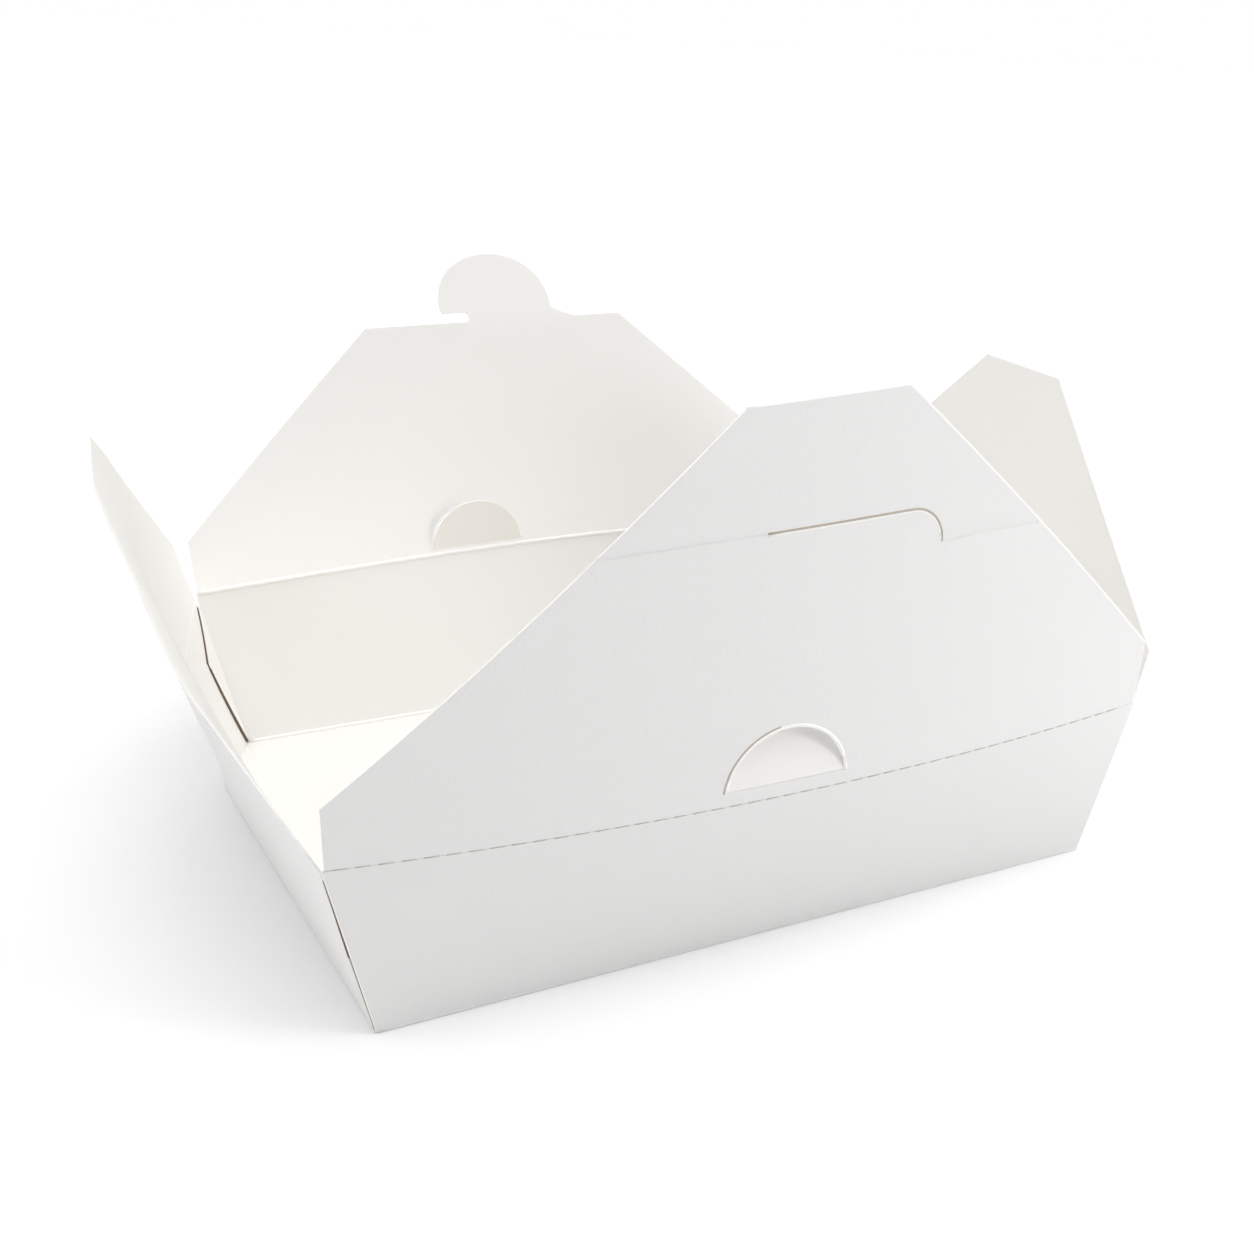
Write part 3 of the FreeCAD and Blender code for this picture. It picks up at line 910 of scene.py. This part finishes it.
def ground():
    mesh = bpy.data.meshes.new("ground")
    far = 12.0
    mesh.from_pydata([(-far, -far, 0), (far, -far, 0), (far, far, 0), (-far, far, 0)], [], [(0, 1, 2, 3)])
    piece = bpy.data.objects.new("ground", mesh)
    bpy.context.scene.collection.objects.link(piece)
    mesh.materials.append(principled("ground_white", (0.95, 0.95, 0.95), 0.9, sheen=0.0))
    return piece


def backdrop(light, shown):
    """A white world, with one strength as a light and another where the camera sees it."""
    world = bpy.data.worlds.new("studio")
    bpy.context.scene.world = world
    world.use_nodes = True
    nodes = world.node_tree.nodes
    links = world.node_tree.links
    nodes.clear()
    out = nodes.new("ShaderNodeOutputWorld")
    shades = []
    for strength in (light, shown):
        shade = nodes.new("ShaderNodeBackground")
        shade.inputs["Color"].default_value = (1.0, 1.0, 1.0, 1.0)
        shade.inputs["Strength"].default_value = strength
        shades.append(shade)
    rays = nodes.new("ShaderNodeLightPath")
    either = nodes.new("ShaderNodeMath")
    either.operation = "MAXIMUM"
    mix = nodes.new("ShaderNodeMixShader")
    links.new(rays.outputs["Is Camera Ray"], either.inputs[0])
    links.new(rays.outputs["Is Transmission Ray"], either.inputs[1])
    links.new(either.outputs[0], mix.inputs[0])
    links.new(shades[0].outputs[0], mix.inputs[1])
    links.new(shades[1].outputs[0], mix.inputs[2])
    links.new(mix.outputs[0], out.inputs["Surface"])


def area_light(name, place, target, size, power):
    lamp = bpy.data.lights.new(name, "AREA")
    lamp.shape = "DISK"
    lamp.size = size
    lamp.energy = power
    piece = bpy.data.objects.new(name, lamp)
    bpy.context.scene.collection.objects.link(piece)
    piece.location = place
    piece.rotation_euler = (Vector(target) - Vector(place)).to_track_quat("-Z", "Y").to_euler()


def sun(name, source, strength, softness):
    """A sun that shines from source, with its softness in degrees."""
    lamp = bpy.data.lights.new(name, "SUN")
    lamp.energy = strength
    lamp.angle = math.radians(softness)
    piece = bpy.data.objects.new(name, lamp)
    bpy.context.scene.collection.objects.link(piece)
    piece.rotation_euler = Vector(source).to_track_quat("Z", "Y").to_euler()


ground()
backdrop(light=0.0, shown=1.0)
sun("left_fill", source=(-1.0, 0.3, 0.5), strength=1.85, softness=80)
sun("right_key", source=(1.0, -0.3, 0.6), strength=1.2, softness=60)
sun("overhead", source=(0.1, 0.1, 1.0), strength=1.1, softness=50)
sun("back_fill", source=(0.2, 1.0, 0.6), strength=0.65, softness=60)
sun("front_high", source=(0.0, -0.5, 1.0), strength=0.79, softness=40)
area_light("side_glow", place=(0.45, -0.42, 0.22), target=(0.05, -0.08, 0.08), size=0.2, power=0.85)

# The camera: focal length and picture centre in pixels of the square photograph, angles in radians.
FOCAL = 1420.8
PICTURE = 1254
YAW = 0.50249
PITCH = 0.43961
ROLL = 0.05597
VIEW_FROM = Vector((-0.15529, -0.33015, 0.20702))
CENTRE = (725.84, 689.65)
SENSOR = 36.0


def add_camera():
    ahead = Vector((math.sin(YAW) * math.cos(PITCH), math.cos(YAW) * math.cos(PITCH), -math.sin(PITCH)))
    right = Vector((math.cos(YAW), -math.sin(YAW), 0.0))
    up = right.cross(ahead)
    turned_right = right * math.cos(ROLL) + up * math.sin(ROLL)
    turned_up = up * math.cos(ROLL) - right * math.sin(ROLL)
    lens = bpy.data.cameras.new("camera")
    lens.sensor_width = SENSOR
    lens.lens = FOCAL / PICTURE * SENSOR
    lens.shift_x = (PICTURE / 2 - CENTRE[0]) / PICTURE
    lens.shift_y = (CENTRE[1] - PICTURE / 2) / PICTURE
    lens.clip_start = 0.01
    piece = bpy.data.objects.new("camera", lens)
    bpy.context.scene.collection.objects.link(piece)
    turn = Matrix((turned_right, turned_up, -ahead)).transposed()
    piece.matrix_world = Matrix.Translation(VIEW_FROM) @ turn.to_4x4()
    bpy.context.scene.camera = piece


add_camera()
bpy.context.scene.view_settings.view_transform = "Standard"
